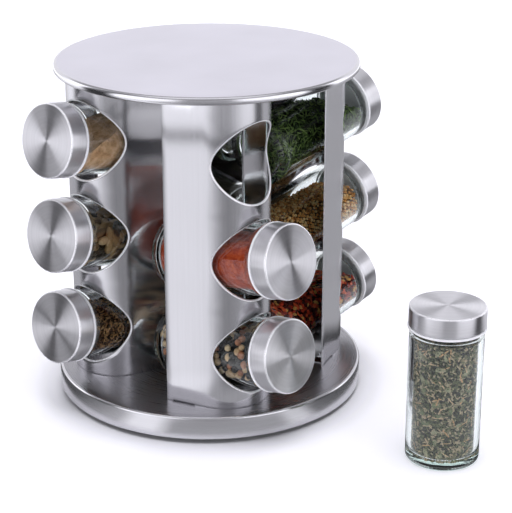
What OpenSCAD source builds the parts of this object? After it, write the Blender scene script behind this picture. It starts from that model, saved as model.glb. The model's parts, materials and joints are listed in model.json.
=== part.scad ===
// Spice carousel: a turning rack of four bent-sheet columns between a base and a lid,
// holding twelve glass jars with screw caps. One jar stands on the table beside it.
// The origin is on the carousel's axis, on the table. Millimetres, +Z up.

/* [Rack] */
// Diameter of the base pan
base_d = 190; // [189:1:194]
// Height of the base pan's top above the table
base_top = 17; // [17:0.1:17.3]
// Height of the base pan's rim above the table
base_gap = 3; // [2:0.5:4]
// Height of the lid's top above the table
rack_h = 209; // [206:1:220]
// Diameter of the lid
lid_d = 183; // [180:1:188]
// Height of the lid's rim
lid_rim = 4.5; // [4:0.5:7]
// Thickness of the pans' sheet
pan_t = 0.8; // [0.6:0.1:1]

/* [Columns] */
// Distance from the carousel's axis to the centre of a column's nose, measured outwards
nose_out = 47.3; // [47:0.1:49]
// Distance that a column and its jars stand to the side of the carousel's axis
side_shift = 34.5; // [34.3:0.1:35.5]
// Outer radius of a column's nose
nose_r = 26.2; // [25.8:0.1:27]
// Length of a column's flat flanges
flange_l = 27.5; // [22:0.5:28]
// Angle at which the flanges spread
splay = 19; // [16:1:20]
// Thickness of the columns' sheet
sheet_t = 0.8; // [0.6:0.1:1]
// Radius of the jar holes
hole_r = 23.8; // [23.4:0.1:24.2]
// Drop of a hole's centre below its cap's centre
hole_drop = 5.5; // [5:0.1:6]

/* [Jars] */
// Angle at which the jars lean, cap end up
tilt = 10.5; // [9:0.5:10.5]
// Height of the lowest cap's centre above the table
first_level = 55; // [55:0.5:57]
// Height from one jar to the next
level_gap = 58.5; // [57:0.5:60]
// Distance from the carousel's axis to a cap's face, measured outwards
cap_out = 98; // [98:0.5:102]
// Height of a jar with its cap
jar_h = 94.2; // [90:0.2:94.2]
// Outer radius of the glass
glass_r = 21.3; // [20:0.1:21.4]
// Thickness of the glass wall
glass_t = 3; // [2:0.1:3.2]
// Outer radius of the steel cap shell
cap_r = 22; // [21.9:0.1:22.4]
// Height of the steel cap shell
cap_h = 11.4; // [11:0.1:12]
// Distance of the loose jar to the side of the carousel's axis
loose_side = 12; // [-60:1:60]
// Distance of the loose jar in front of the carousel's axis
loose_front = 174; // [150:1:260]

/* [Turntable] */
// Radius of the ring of balls
ball_ring_r = 49; // [40:1:60]
// Radius of a ball
ball_r = 2; // [1.9:0.1:2]
// Number of balls
ball_count = 12; // [8:1:16]
// Radius of the foot disc
foot_r = 78; // [75:1:85]
// Width of the rubber ring that it stands on
foot_ring_w = 8; // [5:1:15]

/* [Hidden] */
$fn = 96;
SIDES = ["front", "right", "back", "left"];
LEVELS = ["low", "mid", "top"];
// The jar that stands on the table, left out of this place in the rack
loose_place = "front_top";

// Clearance between faces that slide or turn past each other
gap = 0.3;
cut = 1;

base_r = base_d / 2;
lid_r = lid_d / 2;
base_edge_r = 1.6;
lid_edge_r = 1.5;

// The lid pan's hem is folded inwards, and the lid plate lies on it
hem_w = 3.5;
hem_top = rack_h - lid_rim + pan_t;
plate_t = 0.8;
column_h = hem_top - base_top;

// Tabs at a column's ends, bent inwards and welded to the plates
tab_w = 14;
tab_l = 7;
tab_edge = 4;
bend_r = 1.4;
tab_y = flange_l - tab_edge - tab_w;

// Turntable heights, from the table up
foot_z = 1.5;
foot_t = 4;
foot_ring_r = foot_r - 4;
foot_ring_h = 2.2;
race_w = 10;
race_t = 1.6;
ball_z = 8.3;
groove_r = ball_r + 0.05;
lower_race_z = foot_z + foot_t;
upper_race_z = 2 * ball_z - lower_race_z - race_t;
core_z = upper_race_z + race_t;
cage_t = 0.8;
cage_w = 7;

// Pivot rivet, its washer and the hollow in the core that holds its upper head
pivot_r = 3;
pivot_bore_r = pivot_r + 0.05;
head_r = 6;
head_t = 1.6;
head_z = foot_z + 0.4;
hollow_r = 9;
hollow_z = core_z + 1.8;
washer_r = 7;
washer_t = 0.8;

// Cap and neck of a jar, measured along the jar from its bottom
shell_t = 0.5;
shell_z = jar_h - cap_h;
cap_edge_r = 1;
ring_h = 1.9;
ring_r = cap_r + 0.4;
ring_z = shell_z - gap - ring_h;
liner_r = cap_r - shell_t - gap;
liner_t = 1.5;
liner_top = jar_h - shell_t - gap;
neck_r = liner_r - liner_t - 0.8;
neck_bore_r = neck_r - 2.4;
thread_r = 0.5;
thread_zs = [ring_z + 3.2, ring_z + 6];
mouth_z = liner_top - 2;
glass_edge_r = 2.5;
glass_base_t = 5;
shoulder_r = 1.8;
inner_r = glass_r - glass_t;
shoulder_inner_z = ring_z - 5.5;

steel = [0.78, 0.78, 0.8];
bright_steel = [0.85, 0.85, 0.87];
black_plastic = [0.12, 0.12, 0.13];
pale_plastic = [0.93, 0.94, 0.95];
glass_tint = [0.8, 0.9, 0.86, 0.4];

// Half outline of a disc of radius r and height h whose top edge is rounded
module disc_half(r, h, edge_r) {
    square([r - edge_r, h]);
    square([r, h - edge_r]);
    translate([r - edge_r, h - edge_r])
        circle(edge_r);
}

// Flat ring between two radii
module ring(outer_r, inner_r, h) {
    difference() {
        cylinder(r = outer_r, h = h);
        translate([0, 0, -cut])
            cylinder(r = inner_r, h = h + 2 * cut);
    }
}

module base_cover() {
    rim_h = base_top - base_gap;
    color(steel)
        translate([0, 0, base_gap])
            rotate_extrude()
                difference() {
                    disc_half(base_r, rim_h, base_edge_r);
                    disc_half(base_r - pan_t, rim_h - pan_t, base_edge_r - pan_t);
                }
}

// Moulded core that fills the base pan, with a hollow for the rivet's head
module base_core() {
    core_top = base_top - pan_t;
    color(black_plastic)
        difference() {
            translate([0, 0, core_z])
                cylinder(r = base_r - 2 * pan_t, h = core_top - core_z);
            translate([0, 0, core_z - cut])
                cylinder(r = pivot_bore_r, h = core_top);
            translate([0, 0, hollow_z])
                cylinder(r = hollow_r, h = core_top);
        }
}

// Pan with a rounded edge and a hem folded inwards along its lower rim
module lid_cover() {
    color(steel)
        translate([0, 0, rack_h - lid_rim])
            rotate_extrude() {
                difference() {
                    disc_half(lid_r, lid_rim, lid_edge_r);
                    translate([0, -cut])
                        disc_half(lid_r - pan_t, lid_rim - pan_t + cut, lid_edge_r - pan_t);
                }
                translate([lid_r - hem_w, 0])
                    square([hem_w - pan_t / 2, pan_t]);
            }
}

module lid_plate() {
    color(steel)
        translate([0, 0, hem_top])
            cylinder(r = lid_r - 2 * pan_t, h = plate_t);
}

// One end tab: a quarter bend out of the sheet, then a flat tongue that lies on the plate.
// The sheet's outer face is at x = 0, and the plate's face is at z = 0.
module tab() {
    translate([0, tab_w, 0])
        rotate([90, 0, 0])
            linear_extrude(tab_w) {
                intersection() {
                    translate([-bend_r, bend_r])
                        difference() {
                            circle(bend_r);
                            circle(bend_r - sheet_t);
                        }
                    translate([-bend_r, 0])
                        square(bend_r);
                }
                translate([-bend_r - tab_l, 0])
                    square([tab_l, sheet_t]);
            }
}

// Puts a flange's pieces on both sides, turned to the flanges' spread
module at_flanges() {
    for (flip = [0, 1])
        mirror([flip, 0, 0])
            rotate([0, 0, -splay])
                children();
}

// Filled outline of a column's section, seen from above: a round nose of radius r that runs
// straight into two flanges
module column_outline(r, flange_len) {
    intersection() {
        circle(r);
        translate([-r, -r])
            square([2 * r, r]);
    }
    at_flanges()
        square([r, flange_len]);
}

// The two tabs of one flange, and the slots beside their bends
module flange_tabs() {
    for (end = [0, 1])
        translate([nose_r, tab_y, end * column_h])
            mirror([0, 0, end])
                tab();
}

module flange_slots() {
    for (z = [-cut, column_h - bend_r])
        translate([nose_r - 2 * sheet_t, tab_y, z])
            cube([3 * sheet_t, tab_w, bend_r + cut]);
}

// A column in the front place, with its nose towards -Y
module column() {
    color(bright_steel)
        translate([-side_shift, -nose_out, base_top]) {
            difference() {
                linear_extrude(column_h)
                    difference() {
                        column_outline(nose_r, flange_l);
                        column_outline(nose_r - sheet_t, flange_l + cut);
                    }
                at_flanges()
                    flange_slots();
                for (level = [0 : 2])
                    translate([0, 0, first_level + level * level_gap - hole_drop - base_top])
                        rotate([90, 0, 0])
                            cylinder(r = hole_r, h = 2 * nose_r);
            }
            at_flanges()
                flange_tabs();
        }
}

module foot_disc() {
    color(black_plastic)
        difference() {
            translate([0, 0, foot_z])
                cylinder(r = foot_r, h = foot_t);
            ring(foot_ring_r, foot_ring_r - foot_ring_w, foot_ring_h);
            translate([0, 0, -cut])
                cylinder(r = pivot_r, h = core_z);
            translate([0, 0, foot_z - cut])
                cylinder(r = head_r + 1, h = head_z + head_t - foot_z + cut);
        }
}

module rubber_ring() {
    color(black_plastic)
        ring(foot_ring_r, foot_ring_r - foot_ring_w, foot_ring_h);
}

// Ring with a round groove for the balls
module race(z) {
    color(bright_steel)
        difference() {
            translate([0, 0, z])
                ring(ball_ring_r + race_w / 2, ball_ring_r - race_w / 2, race_t);
            rotate_extrude()
                translate([ball_ring_r, ball_z])
                    circle(groove_r);
        }
}

module ball_cage() {
    color(pale_plastic)
        difference() {
            translate([0, 0, ball_z - cage_t / 2])
                ring(ball_ring_r + cage_w / 2, ball_ring_r - cage_w / 2, cage_t);
            for (i = [0 : ball_count - 1])
                rotate([0, 0, i * 360 / ball_count])
                    translate([ball_ring_r, 0, ball_z - cage_t])
                        cylinder(r = ball_r + gap, h = 2 * cage_t);
        }
}

module bearing_balls() {
    color(bright_steel)
        for (i = [0 : ball_count - 1])
            rotate([0, 0, i * 360 / ball_count])
                translate([ball_ring_r, 0, ball_z])
                    sphere(ball_r);
}

module pivot_rivet() {
    upper_head_z = hollow_z + gap + washer_t;
    color(bright_steel) {
        translate([0, 0, head_z])
            cylinder(r = head_r, h = head_t);
        translate([0, 0, head_z])
            cylinder(r = pivot_r, h = upper_head_z - head_z + head_t / 2);
        translate([0, 0, upper_head_z])
            cylinder(r = head_r, h = head_t / 2);
    }
}

module pivot_washer() {
    color(pale_plastic)
        translate([0, 0, hollow_z + gap])
            ring(washer_r, pivot_r, washer_t);
}

// A jar's glass, standing on z = 0
module glass_jar() {
    color(glass_tint)
        rotate_extrude()
            difference() {
                union() {
                    square([glass_r - glass_edge_r, ring_z]);
                    translate([0, glass_edge_r])
                        square([glass_r, ring_z - glass_edge_r - shoulder_r]);
                    translate([glass_r - glass_edge_r, glass_edge_r])
                        circle(glass_edge_r);
                    translate([glass_r - shoulder_r, ring_z - shoulder_r])
                        circle(shoulder_r);
                    square([neck_r, mouth_z]);
                    for (z = thread_zs)
                        translate([neck_r, z])
                            circle(thread_r);
                }
                translate([0, glass_base_t])
                    square([neck_bore_r, mouth_z]);
                translate([0, glass_base_t])
                    square([inner_r, shoulder_inner_z - glass_base_t]);
                translate([0, shoulder_inner_z])
                    polygon([
                        [0, 0],
                        [inner_r, 0],
                        [neck_bore_r, inner_r - neck_bore_r],
                        [0, inner_r - neck_bore_r]
                    ]);
            }
}

// Plastic lining of the cap, with the ring that shows below the steel
module cap_liner() {
    color(pale_plastic)
        difference() {
            union() {
                translate([0, 0, ring_z])
                    cylinder(r = ring_r, h = ring_h);
                translate([0, 0, ring_z])
                    cylinder(r = liner_r, h = liner_top - ring_z);
            }
            translate([0, 0, ring_z - cut])
                cylinder(r = liner_r - liner_t, h = liner_top - liner_t - ring_z + cut);
        }
}

module cap_shell() {
    color(steel)
        translate([0, 0, shell_z])
            rotate_extrude()
                difference() {
                    disc_half(cap_r, cap_h, cap_edge_r);
                    translate([0, -cut])
                        disc_half(cap_r - shell_t, cap_h - shell_t + cut, cap_edge_r - shell_t);
                }
}

// Turns a piece from the front column's place to another side's
module at_side(side) {
    rotate([0, 0, 90 * search([side], SIDES)[0]])
        children();
}

// Puts a jar's piece in its place in the rack, or on the table if it is the loose jar's
module at_jar(side, level) {
    height = first_level + level_gap * search([level], LEVELS)[0];
    if (str(side, "_", level) == loose_place)
        translate([loose_side, -loose_front, 0])
            children();
    else
        at_side(side)
            translate([-side_shift, -cap_out, height])
                rotate([90 - tilt, 0, 0])
                    translate([0, 0, -jar_h])
                        children();
}

base_cover();
base_core();
lid_cover();
lid_plate();
for (side = SIDES)
    at_side(side) column();
foot_disc();
rubber_ring();
race(lower_race_z);  // lower_race
race(upper_race_z);  // upper_race
ball_cage();
bearing_balls();
pivot_rivet();
pivot_washer();
for (side = SIDES, level = LEVELS) {
    place = str("_", side, "_", level);
    at_jar(side, level) glass_jar();
    at_jar(side, level) cap_liner();
    at_jar(side, level) cap_shell();
}
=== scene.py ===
import json
from math import asin, atan2, copysign, cos, dist, hypot, pi, radians, sin, sqrt

import bmesh
import bpy
import numpy as np
from mathutils import Matrix, Vector


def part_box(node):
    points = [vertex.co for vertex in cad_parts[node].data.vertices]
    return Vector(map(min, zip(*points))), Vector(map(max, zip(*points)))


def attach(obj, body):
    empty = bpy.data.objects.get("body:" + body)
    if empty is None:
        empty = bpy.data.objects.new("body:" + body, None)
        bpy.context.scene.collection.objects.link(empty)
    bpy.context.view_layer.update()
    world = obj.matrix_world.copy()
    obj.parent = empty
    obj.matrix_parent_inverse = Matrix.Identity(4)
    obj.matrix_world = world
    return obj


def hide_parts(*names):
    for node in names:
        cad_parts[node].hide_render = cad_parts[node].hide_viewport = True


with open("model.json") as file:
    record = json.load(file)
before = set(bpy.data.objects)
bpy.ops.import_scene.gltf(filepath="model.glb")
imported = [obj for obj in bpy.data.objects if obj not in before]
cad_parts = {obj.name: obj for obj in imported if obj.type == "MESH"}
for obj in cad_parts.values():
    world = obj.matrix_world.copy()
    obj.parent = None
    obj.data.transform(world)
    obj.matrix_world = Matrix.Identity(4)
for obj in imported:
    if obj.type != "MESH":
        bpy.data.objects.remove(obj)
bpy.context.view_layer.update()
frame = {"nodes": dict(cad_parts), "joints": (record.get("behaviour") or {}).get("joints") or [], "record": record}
RECORD = frame["record"]
JOINTS = {joint["name"]: joint for joint in frame["joints"]}

MM = 0.001
SIDES = ("front", "right", "back", "left")
LEVELS = ("low", "mid", "top")

# Sizes that the boxes of the CAD nodes don't give, in metres
SHEET_T = 0.8 * MM
NOSE_R = 26.2 * MM
SPLAY = radians(19)
FLANGE_L = 27.5 * MM
HOLE_R = 23.8 * MM
HOLE_DROP = 5.5 * MM
BEND_R = 1.4 * MM
TAB_EDGE = 4 * MM
TAB_W = 14 * MM
TAB_L = 7 * MM
PAN_T = 0.8 * MM
HEM_W = 3.5 * MM
JAR_H = 94.2 * MM
GLASS_T = 3 * MM
GLASS_BASE_T = 4.2 * MM
NECK_BORE_R = 16.5 * MM
SHOULDER_DROP = 4.6 * MM
LINER_T = 1.5 * MM
SHELL_T = 0.5 * MM

# The camera stands at the photograph's viewing angle
CAMERA_PLACE = (-0.6834, -0.6600, 0.4470)
CAMERA_HEADING = radians(47.765)
CAMERA_DIP = radians(21.043)
CAMERA_LENS = 114.41
SENSOR_W = 36
CLIP = (0.05, 30)

# How finely round pieces are divided
PAN_STEPS = 240
GLASS_STEPS = 192
SHELL_STEPS = 160
LINER_STEPS = 128

# Outline points closer than this are one, and points nearer the axis than ON_AXIS lie on it
SAME_POINT = 1e-7
ON_AXIS = 1e-6
# A turned piece's UV map counts the way round as if it were at this radius
UV_R = 20 * MM


# ---- meshes

def mesh_from_arrays(name, verts, faces):
    """Mesh from vertex places (n, 3) and faces that all have the same number of corners (m, k)."""
    mesh = bpy.data.meshes.new(name)
    mesh.vertices.add(len(verts))
    mesh.vertices.foreach_set("co", np.asarray(verts, np.float32).ravel())
    corners = faces.shape[1]
    mesh.loops.add(faces.size)
    mesh.loops.foreach_set("vertex_index", np.asarray(faces, np.int32).ravel())
    mesh.polygons.add(len(faces))
    mesh.polygons.foreach_set("loop_start", np.arange(0, faces.size, corners, dtype=np.int32))
    mesh.update(calc_edges=True)
    return mesh


def smooth(mesh, sharp_angle=35):
    """Shades a mesh smooth, with edges sharper than the angle left crisp."""
    mesh.polygons.foreach_set("use_smooth", [True] * len(mesh.polygons))
    mesh.set_sharp_from_angle(angle=radians(sharp_angle))


def arc(centre, radius, start, end, steps):
    """Points of an arc in the (radius, height) plane, angles in degrees."""
    angles = np.radians(np.linspace(start, end, steps))
    return [(centre[0] + radius * cos(a), centre[1] + radius * sin(a)) for a in angles]


def new_mesh(name, verts, faces):
    mesh = bpy.data.meshes.new(name)
    mesh.from_pydata(verts, [], faces)
    return mesh


def set_uvs(mesh, uvs):
    """Gives each corner of each face its place in the UV map."""
    mesh.uv_layers.new(name="UVMap").data.foreach_set("uv", np.array(uvs, np.float32).ravel())


def revolve(name, profile, steps, wave=None):
    """(radius, height) outline turned round Z, from the axis back to the axis. The UV map's U runs along the
    outline and V round it, in metres. wave(radius, height, angle) is added to a point's height."""
    points = [p for i, p in enumerate(profile) if i == 0 or dist(p, profile[i - 1]) > SAME_POINT]
    length = [0.0]
    for a, b in zip(points, points[1:]):
        length.append(length[-1] + dist(a, b))
    angles = [2 * pi * j / steps for j in range(steps)]
    verts = []
    rings = []
    for radius, height in points:
        start = len(verts)
        if radius < ON_AXIS:
            verts.append((0.0, 0.0, height))
            rings.append([start] * steps)
            continue
        for a in angles:
            lift = wave(radius, height, a) if wave else 0.0
            verts.append((radius * cos(a), radius * sin(a), height + lift))
        rings.append(list(range(start, start + steps)))
    faces = []
    uvs = []
    for i, (near, far) in enumerate(zip(rings, rings[1:])):
        u0, u1 = length[i], length[i + 1]
        for j in range(steps):
            n = (j + 1) % steps
            v0, v1 = (2 * pi * UV_R * k / steps for k in (j, j + 1))
            corners = [(near[j], u0, v0), (far[j], u1, v0), (far[n], u1, v1), (near[n], u0, v1)]
            kept = [c for k, c in enumerate(corners) if c[0] not in [other[0] for other in corners[:k]]]
            faces.append([c[0] for c in kept])
            uvs.extend(c[1:] for c in kept)
    mesh = new_mesh(name, verts, faces)
    set_uvs(mesh, uvs)
    mesh.update()
    flip_if_inside_out(mesh)
    smooth(mesh)
    return mesh


def flip_if_inside_out(mesh):
    """Turns every face over if the closed mesh's signed volume is negative."""
    bm = bmesh.new()
    bm.from_mesh(mesh)
    if bm.calc_volume(signed=True) < 0:
        bmesh.ops.reverse_faces(bm, faces=bm.faces)
        bm.to_mesh(mesh)
    bm.free()


def add_object(name, data):
    """Puts a mesh or a camera in the scene."""
    item = bpy.data.objects.new(name, data)
    bpy.context.scene.collection.objects.link(item)
    return item


def add_piece(name, mesh, body, matrix=None, replaces=()):
    """Puts a mesh in the scene as a piece that rides on a body."""
    piece = add_object(name, mesh)
    if matrix is not None:
        piece.matrix_world = matrix
    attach(piece, body)
    if replaces:
        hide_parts(*replaces)
    return piece


# ---- materials

# Nearly all of a noise's values lie in this span
NOISE_SPAN = (0.3, 0.7)
# The sum of two noises lies in this one
SUM_SPAN = (0.6, 1.4)


def add_node(near, kind, inputs=None, **settings):
    """Shader node in the tree that near is in. Its inputs are values, or the sockets that feed them."""
    tree = near.id_data
    node = tree.nodes.new("ShaderNode" + kind)
    for key, value in settings.items():
        setattr(node, key, value)
    for key, value in (inputs or {}).items():
        if isinstance(value, bpy.types.NodeSocket):
            tree.links.new(value, node.inputs[key])
        else:
            node.inputs[key].default_value = value
    return node


def maths(operation, *values):
    return add_node(values[0], "Math", dict(enumerate(values)), operation=operation).outputs[0]


def stretched(vector, scale):
    return add_node(vector, "VectorMath", {0: vector, 1: scale}, operation="MULTIPLY").outputs[0]


def length_of(vector):
    return add_node(vector, "VectorMath", {0: vector}, operation="LENGTH").outputs["Value"]


def object_place(near):
    return add_node(near, "TexCoord").outputs["Object"]


def new_material(name, colour, rough, **values):
    """Material with one Principled shader whose constant values sit on its own sockets."""
    material = bpy.data.materials.new(name)
    material.use_nodes = True
    shader = material.node_tree.nodes["Principled BSDF"]
    values.update(Base_Color=(*colour, 1), Roughness=rough)
    for key, value in values.items():
        shader.inputs[key.replace("_", " ")].default_value = value
    return material, shader


def feed(node, **sockets):
    """Links sockets to a node's inputs."""
    for key, socket in sockets.items():
        node.id_data.links.new(socket, node.inputs[key.replace("_", " ")])


def ramp(factor, stops, interpolation="LINEAR"):
    """Colour ramp through (place, colour) stops."""
    node = add_node(factor, "ValToRGB", {"Fac": factor})
    node.color_ramp.interpolation = interpolation
    elements = node.color_ramp.elements
    elements[0].position, elements[0].color = stops[0][0], (*stops[0][1], 1)
    elements[1].position, elements[1].color = stops[-1][0], (*stops[-1][1], 1)
    for place, colour in stops[1:-1]:
        elements.new(place).color = (*colour, 1)
    return node.outputs["Color"]


def map_range(value, low, high, to_low=0.0, to_high=1.0, kind="LINEAR"):
    inputs = {"Value": value, "From Min": low, "From Max": high, "To Min": to_low, "To Max": to_high}
    return add_node(value, "MapRange", inputs, interpolation_type=kind).outputs["Result"]


def noise(vector, scale, detail, rough):
    inputs = {"Vector": vector, "Scale": scale, "Detail": detail, "Roughness": rough}
    return add_node(vector, "TexNoise", inputs).outputs["Fac"]


def bump(height, distance, **normal):
    """Normal with bumps of a depth, on top of another normal if there is one."""
    return add_node(height, "Bump", {"Height": height, "Distance": distance, **normal}).outputs["Normal"]


def add_grain(shader, grain, roughness, depth):
    """Lets a noise vary the roughness between two values and raise bumps of a depth."""
    feed(shader, Roughness=map_range(grain, *NOISE_SPAN, *roughness), Normal=bump(grain, depth))


def brushed_steel(name, colour, rough, aniso, across, along, scratch=1.0, waviness=0.0, tone=0.035):
    """Brushed stainless steel. Scratches run along the UV map's V, and highlights stretch along its U.
    across and along are the scratch noise's scales per metre."""
    material, shader = new_material(name, colour, rough, Metallic=1.0, Anisotropic=aniso)
    uv = add_node(shader, "UVMap", uv_map="UVMap").outputs["UV"]
    fine = noise(stretched(uv, (across, along, 1)), 1.0, 4.0, 0.6)
    broad = noise(stretched(uv, (across * 0.12, along * 0.25, 1)), 1.0, 2.0, 0.5)
    cloud = noise(object_place(shader), 28.0, 2.0, 0.5)
    mixed = map_range(maths("ADD", fine, broad), *SUM_SPAN, -0.5, 0.5)
    clouded = maths("ADD", mixed, cloud)
    dark = tuple(c * (1 - tone) for c in colour)
    light = tuple(min(1.0, c * (1 + tone)) for c in colour)
    normal = bump(fine, 0.000006 * scratch)
    if waviness:
        normal = bump(noise(object_place(shader), 22.0, 1.0, 0.4), 0.001 * waviness, Normal=normal)
    feed(shader, Normal=normal,
         Roughness=map_range(clouded, -0.1, 1.1, rough * 0.88, rough * 1.12),
         Base_Color=ramp(map_range(mixed, -0.5, 0.5), [(0.1, dark), (0.9, light)]),
         Tangent=add_node(shader, "Tangent", direction_type="UV_MAP", uv_map="UVMap").outputs["Tangent"])
    return material


def satin_steel(colour, rough):
    """Finely spun sheet of the lid's top: soft even sheen with faint rings and clouds."""
    material, shader = new_material("lid_steel", colour, rough, Metallic=1.0)
    place = object_place(shader)
    distance = length_of(stretched(place, (1, 1, 0)))
    out = add_node(shader, "CombineXYZ", {"X": distance}).outputs[0]
    rings = noise(stretched(out, (2600, 1, 1)), 1.0, 3.0, 0.6)
    cloud = noise(place, 14.0, 3.0, 0.5)
    dark = tuple(c * 0.94 for c in colour)
    light = tuple(min(1.0, c * 1.03) for c in colour)
    feed(shader, Normal=bump(rings, 0.0000025),
         Roughness=map_range(maths("ADD", rings, cloud), *SUM_SPAN, rough - 0.03, rough + 0.04),
         Base_Color=ramp(cloud, [(0.35, dark), (0.65, light)]))
    return material


def polished_steel():
    """Races, balls and plates that hardly show, with hairline wear."""
    material, shader = new_material("polished_steel", (0.88, 0.87, 0.90), 0.14, Metallic=1.0)
    add_grain(shader, noise(object_place(shader), 900.0, 3.0, 0.6), (0.10, 0.22), 0.000004)
    return material


def painted_highlight_edge():
    """Rounded or cut edges of the sheet: real edges, with a near-white half-metal finish that paints a soft white
    highlight on them.
    """
    material, shader = new_material("edge_steel", (0.93, 0.925, 0.95), 0.30, Metallic=0.55)
    add_grain(shader, noise(object_place(shader), 1200.0, 3.0, 0.6), (0.26, 0.36), 0.000006)
    return material


def mill_finish():
    """The columns' inner face: bright as rolled, close to a mirror, and slightly uneven."""
    material, shader = new_material("mill_steel", (0.50, 0.495, 0.52), 0.10, Metallic=1.0)
    add_grain(shader, noise(object_place(shader), 40.0, 3.0, 0.5), (0.07, 0.15), 0.00006)
    return material


def clear_glass():
    """Soda-lime glass: green through its depth, faint flow marks on its surface, and shadows let through."""
    material, shader = new_material("glass", (0.985, 1.0, 0.992), 0.0, IOR=1.5, Transmission_Weight=1.0)
    flow = noise(stretched(object_place(shader), (1, 1, 0.35)), 60.0, 1.0, 0.4)
    feed(shader, Normal=bump(flow, 0.00004))
    volume = add_node(shader, "VolumeAbsorption", {"Color": (0.40, 0.82, 0.70, 1), "Density": 13.0})
    shadow = add_node(shader, "LightPath").outputs["Is Shadow Ray"]
    clear = add_node(shader, "BsdfTransparent", {"Color": (0.94, 0.97, 0.95, 1)})
    mixed = add_node(shader, "MixShader", {0: shadow, 1: shader.outputs["BSDF"], 2: clear.outputs["BSDF"]})
    feed(material.node_tree.nodes["Material Output"], Volume=volume.outputs["Volume"],
         Surface=mixed.outputs["Shader"])
    return material


def milky_nylon():
    material, shader = new_material("nylon", (0.88, 0.885, 0.90), 0.35)
    add_grain(shader, noise(object_place(shader), 1500.0, 2.0, 0.5), (0.30, 0.42), 0.00001)
    return material


def grained_plastic(name, colour, rough, grain_scale):
    """Dark moulded plastic or rubber with a fine spark-eroded grain."""
    material, shader = new_material(name, colour, rough)
    grain = noise(object_place(shader), grain_scale, 4.0, 0.6)
    light = tuple(c * 1.6 for c in colour)
    add_grain(shader, grain, (rough - 0.08, rough + 0.1), 0.00004)
    feed(shader, Base_Color=ramp(grain, [(0.35, colour), (0.7, light)]))
    return material


def powder(name, dark, mid, light):
    """Ground spice: fine grains of three tones, clumped softly."""
    material, shader = new_material(name, mid, 0.95, Specular_IOR_Level=0.15)
    place = object_place(shader)
    grains = noise(place, 2600.0, 3.0, 0.7)
    clumps = noise(place, 260.0, 4.0, 0.6)
    factor = map_range(maths("ADD", grains, clumps), 0.65, 1.35)
    feed(shader, Base_Color=ramp(factor, [(0.15, dark), (0.5, mid), (0.85, light)]),
         Normal=bump(clumps, 0.0008, Normal=bump(grains, 0.0002)))
    return material


def pieces_of(name, tones, finish=0.6, texture=1200.0, depth=0.00008):
    """Seeds, leaves or flakes: every loose bit takes its own tone, and carries fine marks."""
    material, shader = new_material(name, tones[0], finish, Specular_IOR_Level=0.35)
    island = add_node(shader, "NewGeometry").outputs["Random Per Island"]
    tone = ramp(island, [(i / len(tones), tone) for i, tone in enumerate(tones)], "CONSTANT")
    marks = noise(object_place(shader), texture, 3.0, 0.6)
    shade = map_range(marks, *NOISE_SPAN, 0.70, 1.18)
    shaded = add_node(shader, "VectorMath", {0: tone, "Scale": shade}, operation="SCALE").outputs[0]
    feed(shader, Base_Color=shaded, Normal=bump(marks, depth))
    return material


STEEL_TINT = (0.72, 0.715, 0.745)
MATERIALS = {
    "column": brushed_steel("column_steel", STEEL_TINT, 0.145, 1.0, 7000, 24, 0.18, waviness=0.035),
    # The base's flat top is the rim's steel darkened: painted shade
    "base": brushed_steel("base_steel", (0.38, 0.375, 0.395), 0.28, 0.70, 5200, 60, 0.5),
    "base_rim": brushed_steel("base_rim_steel", (0.70, 0.695, 0.72), 0.22, 0.70, 5200, 60, 0.5),
    "cap": brushed_steel("cap_steel", (0.86, 0.855, 0.885), 0.35, 1.0, 5000, 0, tone=0.07),
    "rim": brushed_steel("rim_steel", STEEL_TINT, 0.16, 0.3, 3000, 60, 0.3),
    "lid": satin_steel((0.77, 0.755, 0.825), 0.30),
    "polished": polished_steel(),
    "edge": painted_highlight_edge(),
    "mill": mill_finish(),
    "glass": clear_glass(),
    "nylon": milky_nylon(),
    "plastic": grained_plastic("black_plastic", (0.030, 0.030, 0.033), 0.45, 1400.0),
    "rubber": grained_plastic("rubber", (0.022, 0.022, 0.022), 0.7, 900.0),
}


def dress(mesh, *names):
    """Gives a mesh materials, by their names in MATERIALS."""
    for name in names:
        mesh.materials.append(MATERIALS[name])


# ---- base, lid and turntable

def add_lid():
    """Pan with a rounded edge and a hem turned in below. Its top is one material and its rim another."""
    low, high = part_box("lid_cover")
    radius, top, bottom = high.x, high.z, low.z
    edge = 2.1 * MM
    lip = 1.0 * MM
    inner = radius - PAN_T
    profile = [(0, top)] + [(radius * k / 12, top) for k in range(1, 12)]
    profile += arc((radius - edge, top - edge), edge, 90, 0, 9)
    profile += arc((radius - lip, bottom + lip), lip, 0, -90, 6)
    profile += [(radius - HEM_W, bottom), (radius - HEM_W, bottom + PAN_T), (inner, bottom + PAN_T)]
    profile += arc((radius - edge, top - edge), edge - PAN_T, 0, 90, 5)
    profile += [(0, top - PAN_T)]
    mesh = revolve("lid_skin", profile, PAN_STEPS)
    dress(mesh, "lid", "rim")
    flat_r = radius - edge * 1.02
    for face in mesh.polygons:
        centre = face.center
        on_top = hypot(centre.x, centre.y) < flat_r and centre.z > top - PAN_T / 2
        face.material_index = 0 if on_top else 1
    add_piece("lid_skin", mesh, "rack", replaces=["lid_cover"])


def add_base():
    """Pan of plain sheet with a rounded edge. Its flat top is one material, darkened as painted shade, and its rim
    another.
    """
    low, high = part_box("base_cover")
    radius, top, bottom = high.x, high.z, low.z
    edge = 1.6 * MM
    lip = 0.4 * MM
    profile = [(0, top)] + [(radius * k / 14, top) for k in range(1, 14)]
    profile += arc((radius - edge, top - edge), edge, 90, 0, 8)
    profile += arc((radius - lip, bottom + lip), lip, 0, -180, 7)
    profile += arc((radius - edge, top - edge), edge - PAN_T, 0, 90, 5)
    profile += [(0, top - PAN_T)]
    mesh = revolve("base_skin", profile, PAN_STEPS)
    dress(mesh, "base", "base_rim")
    for face in mesh.polygons:
        face.material_index = int(hypot(face.center.x, face.center.y) > radius - edge)
    add_piece("base_skin", mesh, "rack", replaces=["base_cover"])


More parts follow.
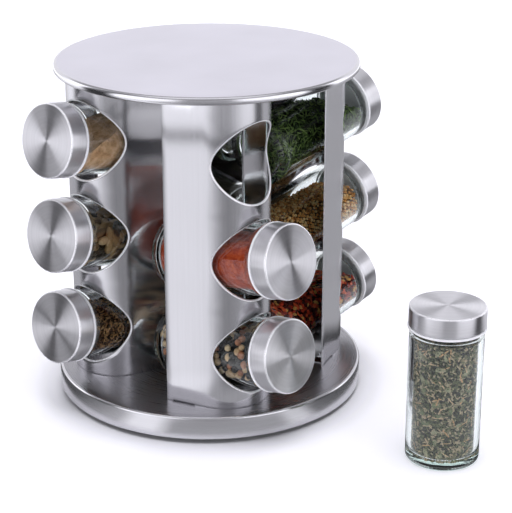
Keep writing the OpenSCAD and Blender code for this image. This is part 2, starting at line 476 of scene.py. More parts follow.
def dress_plain_nodes():
    """CAD nodes whose shape is right as it is keep it, and get their slot's finish."""
    looks = {"brushed_steel": "polished", "polished_steel": "polished", "nylon": "nylon",
             "black_plastic": "plastic", "rubber": "rubber"}
    slots = {entry["node"]: entry["material_slot"] for entry in RECORD["subparts"]}
    for name in ("base_core", "lid_plate", "foot_disc", "rubber_ring", "lower_race", "upper_race",
                 "ball_cage", "bearing_balls", "pivot_rivet", "pivot_washer"):
        mesh = frame["nodes"][name].data
        mesh.materials.clear()
        dress(mesh, looks[slots[name]])


# ---- columns

# Outer face, inner face and cut edge, then the same for the lips of the holes; the edge material paints a white
# highlight on cut edges and lips
COLUMN_MATERIALS = ("column", "mill", "edge", "mill", "edge")
LIP_SLOT = 2
LIP_R = 1.0 * MM


class FlatSheet:
    """Quads of a sheet laid out flat. Corners that share a key are one vertex."""

    def __init__(self):
        self.index = {}
        self.corners = []
        self.faces = []
        self.slots = []

    def corner(self, u, z, depth=0.0, tag=""):
        key = (round(u, 6), round(z, 6), round(depth, 6), tag)
        if key not in self.index:
            self.index[key] = len(self.corners)
            self.corners.append((u, z, depth, tag))
        return self.index[key]

    def quad(self, *corners, slot=0):
        indices = [self.corner(*c) for c in corners]
        if len(set(indices)) == 4:
            self.faces.append(indices)
            self.slots.append(slot)

    def grid(self, us, zs, tag=""):
        for u0, u1 in zip(us, us[1:]):
            for z0, z1 in zip(zs, zs[1:]):
                self.quad((u0, z0, 0.0, tag), (u1, z0, 0.0, tag), (u1, z1, 0.0, tag), (u0, z1, 0.0, tag))


def cell_angles(half_u, half_z, per_span=14):
    """Angles round a hole that put a vertex on each corner of its cell."""
    corner = atan2(half_z, half_u)
    stops = [0, corner, pi / 2, pi - corner, pi, pi + corner, 1.5 * pi, 2 * pi - corner, 2 * pi]
    angles = []
    for a, b in zip(stops, stops[1:]):
        angles.extend(a + (b - a) * k / per_span for k in range(per_span))
    return angles


def hole_point(angle):
    """Place of the hole's edge on the unrolled nose, from the hole's centre, and the way out of the hole."""
    x = HOLE_R * cos(angle)
    u = NOSE_R * asin(x / NOSE_R)
    slope = -HOLE_R * sin(angle) / sqrt(1 - (x / NOSE_R) ** 2)
    rise = HOLE_R * cos(angle)
    size = hypot(slope, rise)
    return (u, HOLE_R * sin(angle)), (rise / size, -slope / size)


def cell_edge(angle, half_u, half_z):
    """Where a ray from the hole's centre meets the edge of its cell."""
    c, s = cos(angle), sin(angle)
    reach = min(half_u / max(abs(c), 1e-9), half_z / max(abs(s), 1e-9))
    return reach * c, reach * s


def add_cell(sheet, centre_z, half_u, half_z, lip_r):
    """A hole with its edge turned in by lip_r, and the sheet round it out to the cell's edge."""
    angles = cell_angles(half_u, half_z)
    rings = []
    for angle in angles:
        (u, z), (out_u, out_z) = hole_point(angle)
        edge_u, edge_z = cell_edge(angle, half_u, half_z)
        column = []
        for turn in np.radians(np.linspace(0, 90, 7)):
            along = lip_r * (1 - cos(turn))
            depth = lip_r * (1 - sin(turn))
            column.append((u + along * out_u, centre_z + z + along * out_z, depth))
        last_u, last_z = u + lip_r * out_u, z + lip_r * out_z
        for share in (0.12, 0.35, 0.65, 1.0):
            next_z = centre_z + last_z + share * (edge_z - last_z)
            column.append((last_u + share * (edge_u - last_u), next_z, 0.0))
        rings.append(column)
    for column, following in zip(rings, rings[1:] + rings[:1]):
        for k in range(len(column) - 1):
            slot = LIP_SLOT if column[k][2] > 0 else 0
            sheet.quad(column[k], column[k + 1], following[k + 1], following[k], slot=slot)


def place_on_column(u, z, depth, half_u, centre):
    """Point of the bent sheet: u from the nose's crest along the section, depth in from the outer face."""
    bend = half_u / NOSE_R
    if abs(u) <= half_u:
        turn = u / NOSE_R
        radius = NOSE_R - depth
        return centre[0] + radius * sin(turn), centre[1] - radius * cos(turn), z
    side = copysign(1, u)
    run = abs(u) - half_u
    x = (NOSE_R - depth) * sin(bend) + run * cos(bend)
    y = -(NOSE_R - depth) * cos(bend) + run * sin(bend)
    return centre[0] + side * x, centre[1] + y, z


def column_mesh():
    """The front column: a bent sheet with three holes, and two tabs at each end of each flange."""
    low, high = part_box("column_front")
    centre = ((low.x + high.x) / 2, low.y + NOSE_R)
    half_u = NOSE_R * (pi / 2 - SPLAY)
    caps = [JOINTS[f"cap_right_{level}_turn"]["pos_m"][2] for level in LEVELS]
    holes = [z - HOLE_DROP for z in caps]
    half_z = (holes[1] - holes[0]) / 2
    sheet = FlatSheet()
    for z in holes:
        add_cell(sheet, z, half_u, half_z, LIP_R)
    bottom, top = low.z, high.z
    first, last = holes[0] - half_z, holes[-1] + half_z
    across = sorted({round(c[0], 9) for c in sheet.corners if abs(c[1] - first) < 1e-7})
    up = sorted({round(c[1], 9) for c in sheet.corners if abs(c[0] - half_u) < 1e-7})
    foot = [bottom, bottom + BEND_R]
    head = [top - BEND_R, top]
    sheet.grid(across, foot + [first])
    sheet.grid(across, [last] + head)
    run = [0, 0.002, FLANGE_L - TAB_EDGE - TAB_W, FLANGE_L - TAB_EDGE, FLANGE_L]
    heights = [foot[1]] + up + [head[0]]
    for side in (-1, 1):
        us = sorted(side * (half_u + r) for r in run)
        sheet.grid(us, heights)
        for stops in (run[:3], run[3:]):
            ends = sorted(side * (half_u + r) for r in stops)
            sheet.grid(ends, foot)
            sheet.grid(ends, head)
        add_tab_faces(sheet, side, half_u, run, foot[1], -1)
        add_tab_faces(sheet, side, half_u, run, head[0], 1)
    verts = [place_on_column(*corner[:3], half_u, centre) for corner in sheet.corners]
    mesh = new_mesh("column_sheet", verts, sheet.faces)
    set_uvs(mesh, [sheet.corners[loop.vertex_index][:2] for loop in mesh.loops])
    mesh.polygons.foreach_set("material_index", sheet.slots)
    smooth(mesh, 60)
    return mesh


def add_tab_faces(sheet, side, half_u, run, start_z, way):
    """One tab: a quarter bend away from the flange, then a tongue that lies on the plate."""
    ends = sorted((side * (half_u + run[2]), side * (half_u + run[3])))
    rows = [(start_z, 0.0, "")]
    for turn in np.radians(np.linspace(15, 90, 6)):
        rows.append((start_z + way * BEND_R * sin(turn), BEND_R * (1 - cos(turn)), "tab"))
    rows.append((start_z + way * BEND_R, BEND_R + TAB_L, "tab"))
    if way < 0:
        rows.reverse()
    for row, following in zip(rows, rows[1:]):
        sheet.quad((ends[0], *row), (ends[1], *row), (ends[1], *following), (ends[0], *following))


def add_columns():
    mesh = column_mesh()
    dress(mesh, *COLUMN_MATERIALS)
    for i, side in enumerate(SIDES):
        turned = Matrix.Rotation(i * pi / 2, 4, "Z")
        piece = add_piece(f"sheet_{side}", mesh, "rack", turned, [f"column_{side}"])
        thick = piece.modifiers.new("thickness", "SOLIDIFY")
        thick.thickness = SHEET_T
        thick.offset = -1
        thick.use_even_offset = True
        thick.material_offset = 1
        thick.material_offset_rim = 2
        edge = piece.modifiers.new("edges", "BEVEL")
        edge.width = 0.22 * MM
        edge.segments = 2
        edge.limit_method = "ANGLE"
        edge.angle_limit = radians(60)


# ---- jars

def jar_frame(name):
    """Matrix of a jar's own axes: Z along the jar from its bottom, at rest."""
    turn = JOINTS[f"cap_{name}_turn"]
    axis = Vector(turn["axis"]).normalized()
    face = Vector(turn["pos_m"])
    side = Vector((1, 0, 0)) if abs(axis.z) > 0.9 else Vector((0, 0, 1)).cross(axis).normalized()
    other = axis.cross(side)
    matrix = Matrix((side, other, axis)).transposed().to_4x4()
    matrix.translation = face - axis * JAR_H
    return matrix


def jar_sizes():
    """Radii and heights along a jar that the loose, upright jar's boxes give."""
    glass_low, glass_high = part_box("glass_front_top")
    ring_low, ring_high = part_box("cap_liner_front_top")
    shell_low, shell_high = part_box("cap_shell_front_top")
    return {
        "glass_r": (glass_high.x - glass_low.x) / 2,
        "mouth_z": glass_high.z,
        "ring_r": (ring_high.x - ring_low.x) / 2,
        "ring_z": ring_low.z,
        "liner_top": ring_high.z,
        "cap_r": (shell_high.x - shell_low.x) / 2,
        "shell_z": shell_low.z,
        "top": shell_high.z,
    }


# Heights of the thread's two beads above the cap's ring, and how far they stand out of the neck
THREAD_RISES = (3.2 * MM, 6 * MM)
THREAD_DEPTH = 0.45 * MM
# The foot ring's beads: their number, their height, and the radii they lie between
BEADS = 48
BEAD_H = 0.9 * MM
BEAD_BAND = (15.9 * MM, 18 * MM)


def glass_mesh(s):
    """Jar with a beaded foot ring, a rounded shoulder and a screw neck."""
    r = s["glass_r"]
    inner_r = r - GLASS_T
    foot_edge = 2.5 * MM
    shoulder = 1.8 * MM
    ring_z = s["ring_z"] - 0.05 * MM
    neck_r = s["cap_r"] - SHELL_T - 0.3 * MM - LINER_T - 0.8 * MM
    inner_shoulder = s["ring_z"] - SHOULDER_DROP
    bottom = ((0, 1.3), (6, 1.2), (11, 0.9), (14.2, 0.6), (15.2, 0.2), (16.0, 0.0), (16.8, 0.0), (17.6, 0.0))
    profile = [(radius * MM, height * MM) for radius, height in bottom]
    profile += [(r - foot_edge, 0.0)]
    profile += arc((r - foot_edge, foot_edge), foot_edge, -75, 0, 7)
    profile += [(r, 8 * MM), (r, 30 * MM), (r, 55 * MM)]
    profile += arc((r - shoulder, ring_z - shoulder), shoulder, 0, 80, 6)
    profile += [(neck_r + 0.6 * MM, ring_z), (neck_r, ring_z + 0.5 * MM)]
    crest = neck_r + THREAD_DEPTH
    for z in (s["ring_z"] + rise for rise in THREAD_RISES):
        profile += [(neck_r, z - 0.6 * MM), (crest, z - 0.15 * MM)]
        profile += [(crest, z + 0.15 * MM), (neck_r, z + 0.6 * MM)]
    profile += arc((neck_r - 0.6 * MM, s["mouth_z"] - 0.6 * MM), 0.6 * MM, 0, 90, 4)
    profile += arc((NECK_BORE_R + 0.6 * MM, s["mouth_z"] - 0.6 * MM), 0.6 * MM, 90, 180, 4)
    profile += [(NECK_BORE_R, inner_shoulder + 4.5 * MM), (NECK_BORE_R + 0.3 * MM, inner_shoulder + 3.2 * MM)]
    profile += arc((inner_r - 3 * MM, inner_shoulder - 0.6 * MM), 3 * MM, 55, 0, 6)
    profile += [(inner_r, 50 * MM), (inner_r, 30 * MM), (inner_r, GLASS_BASE_T + 6 * MM)]
    profile += arc((inner_r - 4 * MM, GLASS_BASE_T + 4 * MM), 4 * MM, 0, -90, 7)
    profile += [(9 * MM, GLASS_BASE_T - 0.2 * MM), (0, GLASS_BASE_T + 0.4 * MM)]

    def beads(radius, height, angle):
        if height < 0.1 * MM and BEAD_BAND[0] < radius < BEAD_BAND[1]:
            return BEAD_H * (0.5 - 0.5 * cos(BEADS * angle))
        return 0.0

    mesh = revolve("jar_glass", profile, GLASS_STEPS, beads)
    dress(mesh, "glass")
    return mesh


def liner_mesh(s):
    """Plastic lining with the ring that shows below the steel."""
    outer = s["cap_r"] - SHELL_T - 0.3 * MM
    inner = outer - LINER_T
    z, top, ring_r = s["ring_z"] + 0.5 * MM, s["liner_top"], s["ring_r"]
    ring_h = 1.4 * MM
    edge = 0.35 * MM
    profile = [(0, top), (outer - 0.5 * MM, top), (outer, top - 0.5 * MM), (outer, z + ring_h)]
    profile += arc((ring_r - edge, z + ring_h - edge), edge, 90, 0, 4)
    profile += arc((ring_r - edge, z + edge), edge, 0, -90, 4)
    profile += [(inner + 0.3 * MM, z), (inner, z + 0.3 * MM), (inner, top - LINER_T), (0, top - LINER_T)]
    mesh = revolve("cap_liner", profile, LINER_STEPS)
    dress(mesh, "nylon")
    return mesh


def cap_mesh(s):
    """Drawn steel shell, its face spun, with a rolled lower edge."""
    r, top, low = s["cap_r"], s["top"], s["shell_z"]
    edge = 1.0 * MM
    profile = [(0, top), (0.6 * MM, top)] + [(r * k / 10, top) for k in range(1, 10)]
    profile += [(r - edge * 1.3, top)]
    profile += arc((r - edge, top - edge), edge, 84, 0, 7)
    profile += [(r, top - 5 * MM)]
    profile += arc((r - SHELL_T / 2, low + SHELL_T / 2), SHELL_T / 2, 0, -180, 7)
    profile += [(r - SHELL_T, top - 3 * MM)]
    profile += arc((r - edge, top - edge), edge - SHELL_T, 0, 90, 4)
    profile += [(0, top - SHELL_T)]
    mesh = revolve("cap_shell", profile, SHELL_STEPS)
    dress(mesh, "cap", "edge")
    # The rounded rim of the face takes the edge material, whose near-white is a painted highlight
    for face in mesh.polygons:
        spread = hypot(face.center.x, face.center.y)
        on_edge = spread > r - edge * 0.85 and face.center.z > top - edge * 0.75
        face.material_index = 1 if on_edge else 0
    return mesh


def add_jars():
    sizes = jar_sizes()
    glass, liner, cap = glass_mesh(sizes), liner_mesh(sizes), cap_mesh(sizes)
    for side in SIDES:
        for level in LEVELS:
            name = f"{side}_{level}"
            matrix = jar_frame(name)
            add_piece(f"jar_{name}_glass", glass, f"jar_{name}", matrix, [f"glass_{name}"])
            add_piece(f"jar_{name}_liner", liner, f"liner_{name}", matrix, [f"cap_liner_{name}"])
            add_piece(f"jar_{name}_cap", cap, f"cap_{name}", matrix, [f"cap_shell_{name}"])


# ---- spices

def icosphere(subdivisions):
    bm = bmesh.new()
    bmesh.ops.create_icosphere(bm, subdivisions=subdivisions, radius=1.0)
    verts = np.array([v.co for v in bm.verts])
    faces = np.array([[v.index for v in f.verts] for f in bm.faces])
    bm.free()
    return verts, faces


def needle(sides=4):
    """Slim rod with pointed ends, one unit long each way along X."""
    angles = 2 * np.pi * np.arange(sides) / sides
    ring = np.stack([np.zeros(sides), np.cos(angles), np.sin(angles)], 1)
    verts = np.vstack([[[-1, 0, 0]], ring + [-0.8, 0, 0], ring + [0.75, 0, 0], [[1, 0, 0]]])
    faces = []
    last = 2 * sides + 1
    for j in range(sides):
        n = (j + 1) % sides
        a0, a1, b0, b1 = 1 + j, 1 + n, 1 + sides + j, 1 + sides + n
        faces += [[0, a1, a0], [a0, a1, b1], [a0, b1, b0], [b0, b1, last]]
    return verts, np.array(faces)


def turns(rng, count, spread):
    """Random turns (count, 3, 3): any turn about Z, then a tip of up to spread radians about a flat axis."""
    spin = rng.uniform(0, 2 * np.pi, count)
    tip = rng.uniform(-spread, spread, count)
    way = rng.uniform(0, 2 * np.pi, count)
    none, one = np.zeros(count), np.ones(count)
    about_z = [[np.cos(spin), -np.sin(spin), none], [np.sin(spin), np.cos(spin), none], [none, none, one]]
    kx, ky = np.cos(way), np.sin(way)
    c, s = np.cos(tip), np.sin(tip)
    tipped = [[c + kx * kx * (1 - c), kx * ky * (1 - c), ky * s],
              [kx * ky * (1 - c), c + ky * ky * (1 - c), -kx * s],
              [-ky * s, kx * s, c]]
    return np.transpose(tipped, (2, 0, 1)) @ np.transpose(about_z, (2, 0, 1))


def frames_for(normals):
    """Right-handed frames (n, 3, 3) whose Z columns are the normals."""
    helper = np.where(np.abs(normals[:, 2:3]) < 0.9, [[0.0, 0.0, 1.0]], [[1.0, 0.0, 0.0]])
    x = np.cross(helper, normals)
    x /= np.linalg.norm(x, axis=1, keepdims=True)
    y = np.cross(normals, x)
    return np.stack([x, y, normals], 2)


# Distance between the rows of a grid of triangles, in pitches
ROW_PITCH = 0.866
# A tip of any angle
ANY_TIP = 3.2
# How far the sizes of loose bits differ from the mean
VARY = 0.18


def hex_grid(rng, width, height, pitch, jitter):
    """Points (n, 2) of a grid of triangles, each moved a little."""
    rows = int(height / (pitch * ROW_PITCH)) + 1
    columns = int(width / pitch) + 1
    j, i = np.mgrid[0:rows, 0:columns]
    points = np.stack([((i + 0.5 * (j % 2)) * pitch).ravel(), (j * pitch * ROW_PITCH).ravel()], 1)
    return points + rng.uniform(-jitter, jitter, points.shape) * pitch


class Fill:
    """Space that a jar's contents take, in the jar's own axes. up is the way out of the heap's surface."""

    def __init__(self, name, seed, level, slope=(0.0, 0.0)):
        sizes = jar_sizes()
        self.name = name
        self.rng = np.random.default_rng(seed)
        self.matrix = jar_frame(name)
        self.radius = sizes["glass_r"] - GLASS_T - 0.25 * MM
        self.low = GLASS_BASE_T + 0.6 * MM
        self.high = sizes["ring_z"] - SHOULDER_DROP + 1.0 * MM
        turn = np.array(self.matrix.to_3x3())
        world_up = np.array([slope[0], slope[1], 1.0])
        up = turn.T @ (world_up / np.linalg.norm(world_up))
        self.up = up / np.linalg.norm(up)
        self.middle = np.array([0, 0, (self.low + self.high) / 2])
        if abs(self.up[2]) > 0.9:
            self.level = self.low + level * (self.high - self.low)
        else:
            self.level = self.up @ self.middle + (2 * level - 1) * self.radius

    def core(self, drop, rough, step=1.2 * MM):
        """Closed heap just inside the glass, its surface let down by drop and roughened."""
        radius = self.radius - drop
        around = int(2 * np.pi * radius / step)
        rise = max(2, int((self.high - self.low) / step))
        spokes = max(3, int(radius / step))
        round_off = min(3 * MM, radius / 3)
        flat = [radius * k / spokes for k in range(spokes) if radius * k / spokes < radius - round_off]
        profile = [(r, self.low + drop) for r in flat]
        profile += arc((radius - round_off, self.low + drop + round_off), round_off, -90, 0, 5)
        top = self.high - drop
        heights = np.linspace(self.low + drop + round_off, top - round_off, rise)[1:-1]
        profile += [(radius, z) for z in heights]
        profile += arc((radius - round_off, top - round_off), round_off, 0, 90, 5)
        profile += [(r, top) for r in reversed(flat)]
        mesh = revolve(f"{self.name}_heap", profile, around)
        co = np.array([v.co for v in mesh.vertices])
        swell = self.swell(co)
        above = co @ self.up - (self.level - drop + rough * swell)
        lifted = above > 0
        co[lifted] -= above[lifted, None] * self.up
        spread = np.hypot(co[:, 0], co[:, 1])
        too_far = spread > radius
        co[too_far, :2] *= (radius / spread[too_far])[:, None]
        mesh.vertices.foreach_set("co", co.astype(np.float32).ravel())
        mesh.update()
        return mesh

    def swell(self, points):
        """Smooth unevenness of the heap's surface, from -1 to 1."""
        a, b, c = self.rng.uniform(0, 2 * np.pi, 3)
        x, y, z = points.T
        return (np.sin(310 * x + 190 * z + a) + np.sin(260 * z - 170 * y + b) + np.sin(520 * (y + x) + c)) / 3

    def wall(self, size, pitch, jitter):
        """Points just inside the glass wall and floor, below the heap's surface, and the ways out there."""
        rng = self.rng
        radius = self.radius - size
        flat = hex_grid(rng, 2 * np.pi * radius, self.high - self.low - 2 * size, pitch, jitter)
        angle = flat[:, 0] / radius
        normal = np.stack([np.cos(angle), np.sin(angle), np.zeros(len(angle))], 1)
        points = normal * radius
        points[:, 2] = self.low + size + flat[:, 1]
        floor = hex_grid(rng, 2 * radius, 2 * radius, pitch, jitter) - radius
        floor = floor[np.hypot(*floor.T) < radius - size]
        below = np.column_stack([floor, np.full(len(floor), self.low + size)])
        corner = np.clip((np.hypot(*floor.T) - (radius - 3 * MM)) / (3 * MM), 0, 1)
        below[:, 2] += corner ** 2 * 2 * MM
        down = np.tile([0.0, 0.0, -1.0], (len(floor), 1))
        points, normal = np.vstack([points, below]), np.vstack([normal, down])
        z = points[:, 2]
        kept = (points @ self.up < self.level - size) & (z < self.high - size) & (z > self.low)
        return points[kept], normal[kept]

    def surface(self, size, pitch, rough):
        """Points on the heap's free surface."""
        rng = self.rng
        half = self.high
        flat = hex_grid(rng, 2 * half, 2 * half, pitch, 0.25) - half
        axes = frames_for(self.up[None, :])[0]
        origin = self.middle + self.up * (self.level - self.up @ self.middle)
        points = origin + flat[:, :1] * axes[:, 0] + flat[:, 1:] * axes[:, 1]
        lift = rough * self.swell(points) + rng.uniform(-0.3, 0.3, len(points)) * size
        points = points + self.up * lift[:, None]
        inside = np.hypot(points[:, 0], points[:, 1]) < self.radius - size
        inside &= (points[:, 2] > self.low + size) & (points[:, 2] < self.high - size)
        points = points[inside] - self.up * size
        return points, np.tile(self.up, (len(points), 1))

    def scatter(self, shape, size, scale, pitch, tip, rough=0.6 * MM, lumps=0.08, jitter=0.22):
        """Mesh of loose bits lying against the glass and on the heap. scale is the bit's half sizes."""
        verts, faces = shape
        parts = self.wall(size, pitch, jitter), self.surface(size, pitch, rough)
        points, normals = (np.vstack(both) for both in zip(*parts))
        count = len(points)
        axes = frames_for(normals) @ turns(self.rng, count, tip)
        sizes = np.array(scale) * self.rng.uniform(1 - VARY, 1 + VARY, (count, 1))
        sizes = sizes * self.rng.uniform(1 - VARY / 2, 1 + VARY / 2, (count, 3))
        local = verts[None, :, :] * sizes[:, None, :]
        local = local * (1 + lumps * self.rng.standard_normal(local.shape[:2])[:, :, None])
        world = np.einsum("nij,nkj->nki", axes, local) + points[:, None, :]
        world = world.reshape(-1, 3)
        spread = np.hypot(world[:, 0], world[:, 1])
        far = spread > self.radius
        world[far, :2] *= (self.radius / spread[far])[:, None]
        world[:, 2] = np.clip(world[:, 2], self.low - 0.3 * MM, self.high)
        index = (faces[None] + (np.arange(count) * len(verts))[:, None, None]).reshape(-1, faces.shape[1])
        return mesh_from_arrays(f"{self.name}_bits", world, index)


def add_contents(fill, kind, mesh, material):
    mesh.polygons.foreach_set("use_smooth", [True] * len(mesh.polygons))
    mesh.materials.append(material)
    add_piece(f"{kind}_{fill.name}", mesh, f"jar_{fill.name}", fill.matrix)


def add_powder(name, seed, level, slope, tones):
    fill = Fill(name, seed, level, slope)
    add_contents(fill, "powder", fill.core(0.02 * MM, 0.5 * MM, 0.8 * MM), powder(f"powder_{name}", *tones))


def add_bits(name, seed, level, slope, shape, size, scale, pitch, tones, tip=ANY_TIP, rough=0.6, lumps=0.08,
             **look):
    """Loose contents: a heap inside, darkened to painted shade between the bits, and the bits that show against
    the glass and on top.
    """
    fill = Fill(name, seed, level, slope)
    # The heap's tone is the bits' first tone darkened, painted shade in the gaps between them
    gap_shade_tone = tuple(0.12 * c for c in tones[0])
    heap = powder(f"heap_{name}", gap_shade_tone, gap_shade_tone, tuple(1.6 * c for c in gap_shade_tone))
    add_contents(fill, "heap", fill.core(1.5 * size * MM, 0.2 * MM, 1.8 * MM), heap)
    bits = fill.scatter(shape, size * MM, [k * MM for k in scale], pitch * MM, tip, rough * MM, lumps=lumps)
    add_contents(fill, "bits", bits, pieces_of(f"bits_{name}", tones, **look))


def add_strays(kind, name, seed, shape, scale, pitch, tones):
    """A few larger bits among a jar's contents."""
    fill = Fill(name, seed, 0.985)
    mesh = fill.scatter(shape, 0.35 * MM, [k * MM for k in scale], pitch * MM, 0.3, jitter=0.45)
    add_contents(fill, kind, mesh, pieces_of(f"{kind}_{name}", tones))


def add_spices():
    round_seed = icosphere(1)
    ball = icosphere(2)
    rod = needle()
    add_powder("left_top", 11, 0.90, (-0.35, 0.0),
               [(0.42, 0.21, 0.10), (0.78, 0.46, 0.25), (0.95, 0.66, 0.42)])
    add_bits("left_mid", 12, 0.86, (-0.2, 0.0), ball, 1.8, (4.8, 2.4, 1.8), 5.9,
             [(0.40, 0.25, 0.11), (0.52, 0.35, 0.18), (0.05, 0.035, 0.02), (0.34, 0.20, 0.085),
              (0.22, 0.13, 0.06)], tip=0.5, rough=1.5, lumps=0.04)
    add_bits("left_low", 13, 0.86, (-0.2, 0.0), round_seed, 0.62, (1.9, 0.6, 0.5), 2.0,
             [(0.18, 0.08, 0.03), (0.36, 0.18, 0.07), (0.52, 0.29, 0.13), (0.10, 0.045, 0.02)])
    add_powder("front_mid", 21, 0.90, (0.0, 0.1),
               [(0.24, 0.022, 0.006), (0.46, 0.05, 0.012), (0.66, 0.12, 0.03)])
    add_bits("front_low", 22, 0.86, (0.0, 0.15), ball, 2.0, (2.2, 2.15, 2.1), 4.7,
             [(0.018, 0.014, 0.012), (0.85, 0.60, 0.36), (0.03, 0.022, 0.018), (0.92, 0.70, 0.45),
              (0.50, 0.20, 0.10), (0.70, 0.46, 0.26)],
             rough=1.0, lumps=0.015, finish=0.55, texture=900.0, depth=0.0003)
    add_bits("right_top", 31, 0.86, (0.15, 0.0), rod, 0.4, (2.6, 0.42, 0.36), 1.9,
             [(0.030, 0.060, 0.012), (0.12, 0.20, 0.04), (0.22, 0.32, 0.09), (0.05, 0.08, 0.02)],
             tip=0.5, rough=1.5)
    add_bits("right_mid", 32, 0.80, (-0.1, 0.1), round_seed, 0.95, (0.98, 0.96, 0.94), 2.15,
             [(0.82, 0.38, 0.11), (0.95, 0.54, 0.20), (1.0, 0.70, 0.34), (0.52, 0.22, 0.06)], lumps=0.03)
    add_bits("right_low", 33, 0.82, (0.0, 0.1), round_seed, 0.6, (2.1, 1.4, 0.35), 2.4,
             [(0.12, 0.008, 0.004), (0.62, 0.05, 0.012), (0.85, 0.13, 0.04), (0.85, 0.42, 0.12),
              (0.42, 0.03, 0.01), (0.08, 0.006, 0.004)], tip=0.8, rough=1.0)
    add_bits("back_low", 41, 0.80, (0.0, 0.0), round_seed, 0.55, (2.3, 0.62, 0.55), 1.8,
             [(0.22, 0.13, 0.055), (0.32, 0.20, 0.09), (0.42, 0.29, 0.14)])
    add_powder("back_mid", 42, 0.82, (0.1, 0.0),
               [(0.035, 0.028, 0.022), (0.07, 0.055, 0.042), (0.14, 0.11, 0.085)])
    add_bits("back_top", 43, 0.82, (0.0, -0.1), round_seed, 0.5, (2.0, 1.3, 0.22), 1.9,
             [(0.06, 0.09, 0.03), (0.12, 0.15, 0.05), (0.17, 0.19, 0.08), (0.08, 0.10, 0.035)],
             tip=0.8, rough=1.0)
    add_bits("front_top", 23, 0.985, (0.0, 0.0), round_seed, 0.45, (1.25, 0.62, 0.2), 1.35,
             [(0.045, 0.05, 0.025), (0.19, 0.20, 0.10), (0.50, 0.43, 0.28), (0.10, 0.11, 0.05),
              (0.62, 0.50, 0.33), (0.14, 0.15, 0.07), (0.30, 0.27, 0.16), (0.035, 0.035, 0.02)],
             tip=0.9, rough=0.8)
    add_strays("stems", "front_top", 24, rod, (2.8, 0.4, 0.3), 8.0, [(0.72, 0.45, 0.24), (0.80, 0.60, 0.38)])
    add_strays("leaves", "front_top", 25, round_seed, (2.9, 1.7, 0.12), 11.0,
               [(0.24, 0.28, 0.15), (0.46, 0.45, 0.28)])


# ---- studio

# Lights by bearing in degrees. Behind the object the horizon's band is high.
BEHIND = ((0, 1), (88, 1), (110, 0), (338, 0), (355, 1), (360, 1))
# The horizon and the far cards have dark gaps where the caps face them
HORIZON_LIGHT = ((0, 1.5), (119, 1.9), (127, 0.02), (148, 0.02), (157, 1.9), (196, 1.5), (208, 0.4),
                 (240, 0.4), (250, 1.5), (296, 1.9), (304, 0.02), (322, 0.02), (332, 1.9), (360, 1.5))
# What the base's rim reflects off the table, then what the columns and caps do, then what the lid's rim does
BASE_LIGHT = ((0, 0.08), (122, 0.06), (152, 0.08), (168, 0.3), (183, 0.55), (190, 1.15), (200, 1.15),
              (208, 0.42), (254, 0.42), (260, 0.85), (266, 0.85), (273, 0.22), (290, 0.12), (320, 0.07),
              (360, 0.08))
NEAR_LIGHT = ((0, 0.45), (70, 0.5), (112, 0.55), (121, 0.03), (149, 0.05), (157, 0.8), (163, 1.12),
              (173, 1.12), (184, 0.88), (198, 0.6), (212, 0.38), (226, 0.26), (240, 0.3), (258, 0.36),
              (268, 0.5), (290, 0.6), (298, 0.03), (322, 0.03), (333, 0.5), (360, 0.45))
FAR_LIGHT = ((0, 0.4), (45, 0.4), (75, 0.7), (105, 1.2), (122, 1.2), (130, 0.05), (151, 0.05),
             (160, 1.25), (180, 1.25), (195, 0.65), (212, 0.42), (235, 0.45), (252, 0.75), (266, 1),
             (292, 1.1), (299, 0.08), (316, 0.08), (327, 0.6), (360, 0.4))
# The dark seam between two cards crosses only what the front and left columns reflect
SEAM_LIGHT = ((0, 1), (146, 1), (160, 0), (300, 0), (312, 1), (360, 1))
# The near cards are set round the front column's left edge
NEAR_CENTRE = (-0.055, -0.045, 0.0)
# Distances from the axis over which one card's light turns into the next one's
BASE_TO_NEAR = (0.135, 0.155)
NEAR_TO_FAR = (0.60, 0.65)
FAR_TO_HORIZON = (0.85, 1.05)
SEAM_R = 0.667
SEAM_SHADE = (0.006, 0.028)
CARD_RADII = (0.102, 5.9)
CARD_Z = 0.4 * MM
CARD_STEPS = 96
FLOOR_REACH = 6.0
# The table's glow fades in between these distances from the axis; inside them the missing glow is a painted
# contact shadow round the base
PAINTED_SHADOW_EDGE = (0.098, 0.113)
GLOW = 0.22
# Sines of the heights above the horizon between which a high band of light ends
BAND_EDGE = (0.42, 0.60)
SOFT = "SMOOTHERSTEP"


def light_by_bearing(vector, stops):
    """Light that changes with the way a vector points round Z from X, through (degrees, light) stops."""
    parts = add_node(vector, "SeparateXYZ", {0: vector}).outputs
    angle = maths("ARCTAN2", parts["Y"], parts["X"])
    share = maths("FRACT", maths("MULTIPLY", angle, 1 / (2 * pi)))
    return ramp(share, [(degrees / 360, (light, light, light)) for degrees, light in stops])


def mix_values(factor, a, b):
    return add_node(factor, "Mix", {"Factor": factor, "A": a, "B": b}).outputs["Result"]


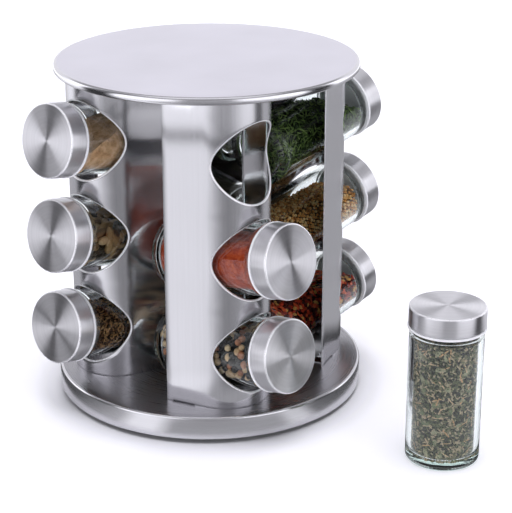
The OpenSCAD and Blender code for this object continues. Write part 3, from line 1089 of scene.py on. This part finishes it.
def studio_world():
    """Soft studio light: a bright band at the horizon, a dim one above it, and a large soft box overhead.
    Reflections see a lower band, which stays high only behind the object."""
    world = bpy.data.worlds.new("studio")
    bpy.context.scene.world = world
    world.use_nodes = True
    background = world.node_tree.nodes["Background"]
    direction = add_node(background, "TexCoord").outputs["Generated"]
    height = add_node(direction, "SeparateXYZ", {0: direction}).outputs["Z"]
    band = map_range(height, *BAND_EDGE, 1.0, 0.06, SOFT)
    lit = maths("ADD", band, map_range(height, 0.82, 0.90, 0.0, 3.6, SOFT))
    low_band = map_range(height, 0.36, 0.60, 0.95, 0.20, SOFT)
    low_band = maths("MULTIPLY", low_band, light_by_bearing(direction, HORIZON_LIGHT))
    low_band = maths("ADD", low_band, map_range(height, 0.17, 0.30, 0.02, 0.20))
    high_band = map_range(height, *BAND_EDGE, 1.0, 0.40, SOFT)
    seen_band = mix_values(light_by_bearing(direction, BEHIND), low_band, high_band)
    seen = maths("ADD", seen_band, map_range(height, 0.84, 0.92, 0.0, 0.5, SOFT))
    path = add_node(background, "LightPath").outputs
    reflected = maths("MAXIMUM", path["Is Glossy Ray"], path["Is Transmission Ray"])
    background.inputs["Color"].default_value = (0.955, 0.95, 1.0, 1)
    feed(background, Strength=mix_values(reflected, lit, seen))


def floor_material():
    """Pale table that glows a little, but not beside the base, where the missing glow paints a contact shadow."""
    material, shader = new_material("floor", (0.90, 0.90, 0.93), 0.5, Specular_IOR_Level=0.2,
                                    Emission_Color=(0.93, 0.92, 1.0, 1))
    place = object_place(shader)
    speck = noise(place, 300.0, 2.0, 0.5)
    # Emission is cut out beside the base: a painted contact shadow
    feed(shader, Roughness=map_range(speck, *NOISE_SPAN, 0.46, 0.54),
         Emission_Strength=map_range(length_of(place), *PAINTED_SHADOW_EDGE, 0.0, GLOW))
    return material


def add_floor():
    corners = [(x * FLOOR_REACH, y * FLOOR_REACH, 0) for x, y in ((-1, -1), (1, -1), (1, 1), (-1, 1))]
    mesh = new_mesh("floor", corners, [(0, 1, 2, 3)])
    mesh.materials.append(floor_material())
    floor = add_object("floor", mesh)


def card_material():
    """Light of the reflector cards, in rings round the object, with a dark seam between two of them."""
    material, shader = new_material("card", (0.0, 0.0, 0.0), 1.0, Specular_IOR_Level=0.0,
                                    Emission_Color=(0.95, 0.95, 1.0, 1))
    place = object_place(shader)
    shifted = add_node(shader, "VectorMath", {0: place, 1: NEAR_CENTRE}, operation="SUBTRACT").outputs[0]
    distance = length_of(place)
    light = light_by_bearing(place, BASE_LIGHT)
    for edge, vector, stops in ((BASE_TO_NEAR, shifted, NEAR_LIGHT), (NEAR_TO_FAR, place, FAR_LIGHT),
                                (FAR_TO_HORIZON, place, HORIZON_LIGHT)):
        light = mix_values(map_range(distance, *edge), light, light_by_bearing(vector, stops))
    off_seam = maths("ABSOLUTE", maths("SUBTRACT", distance, SEAM_R))
    seam = maths("MAXIMUM", map_range(off_seam, *SEAM_SHADE), light_by_bearing(place, SEAM_LIGHT))
    feed(shader, Emission_Strength=maths("MULTIPLY", light, seam))
    material.cycles.emission_sampling = "NONE"
    return material


def add_card():
    """Reflector card round the object, just above the table. Only steel and glass see it, as a reflection."""
    n = CARD_STEPS
    angles = [2 * pi * j / n for j in range(n)]
    verts = [(radius * cos(a), radius * sin(a), CARD_Z) for radius in CARD_RADII for a in angles]
    mesh = new_mesh("card", verts, [(j, n + j, n + (j + 1) % n, (j + 1) % n) for j in range(n)])
    mesh.materials.append(card_material())
    card = add_object("card", mesh)
    for ray in ("camera", "diffuse", "shadow", "transmission"):
        setattr(card, f"visible_{ray}", False)


def add_studio():
    studio_world()
    add_floor()
    add_card()
    bpy.context.scene.view_settings.view_transform = "Standard"


def add_camera():
    data = bpy.data.cameras.new("camera")
    data.lens = CAMERA_LENS
    data.sensor_width = SENSOR_W
    data.clip_start, data.clip_end = CLIP
    camera = add_object("camera", data)
    flat = cos(CAMERA_DIP)
    across, ahead = sin(CAMERA_HEADING) * flat, cos(CAMERA_HEADING) * flat
    forward = Vector((across, ahead, -sin(CAMERA_DIP)))
    camera.location = CAMERA_PLACE
    camera.rotation_mode = "QUATERNION"
    camera.rotation_quaternion = forward.to_track_quat("-Z", "Y")
    bpy.context.scene.camera = camera


add_camera()
add_studio()
add_base()
add_lid()
add_columns()
add_jars()
add_spices()
dress_plain_nodes()
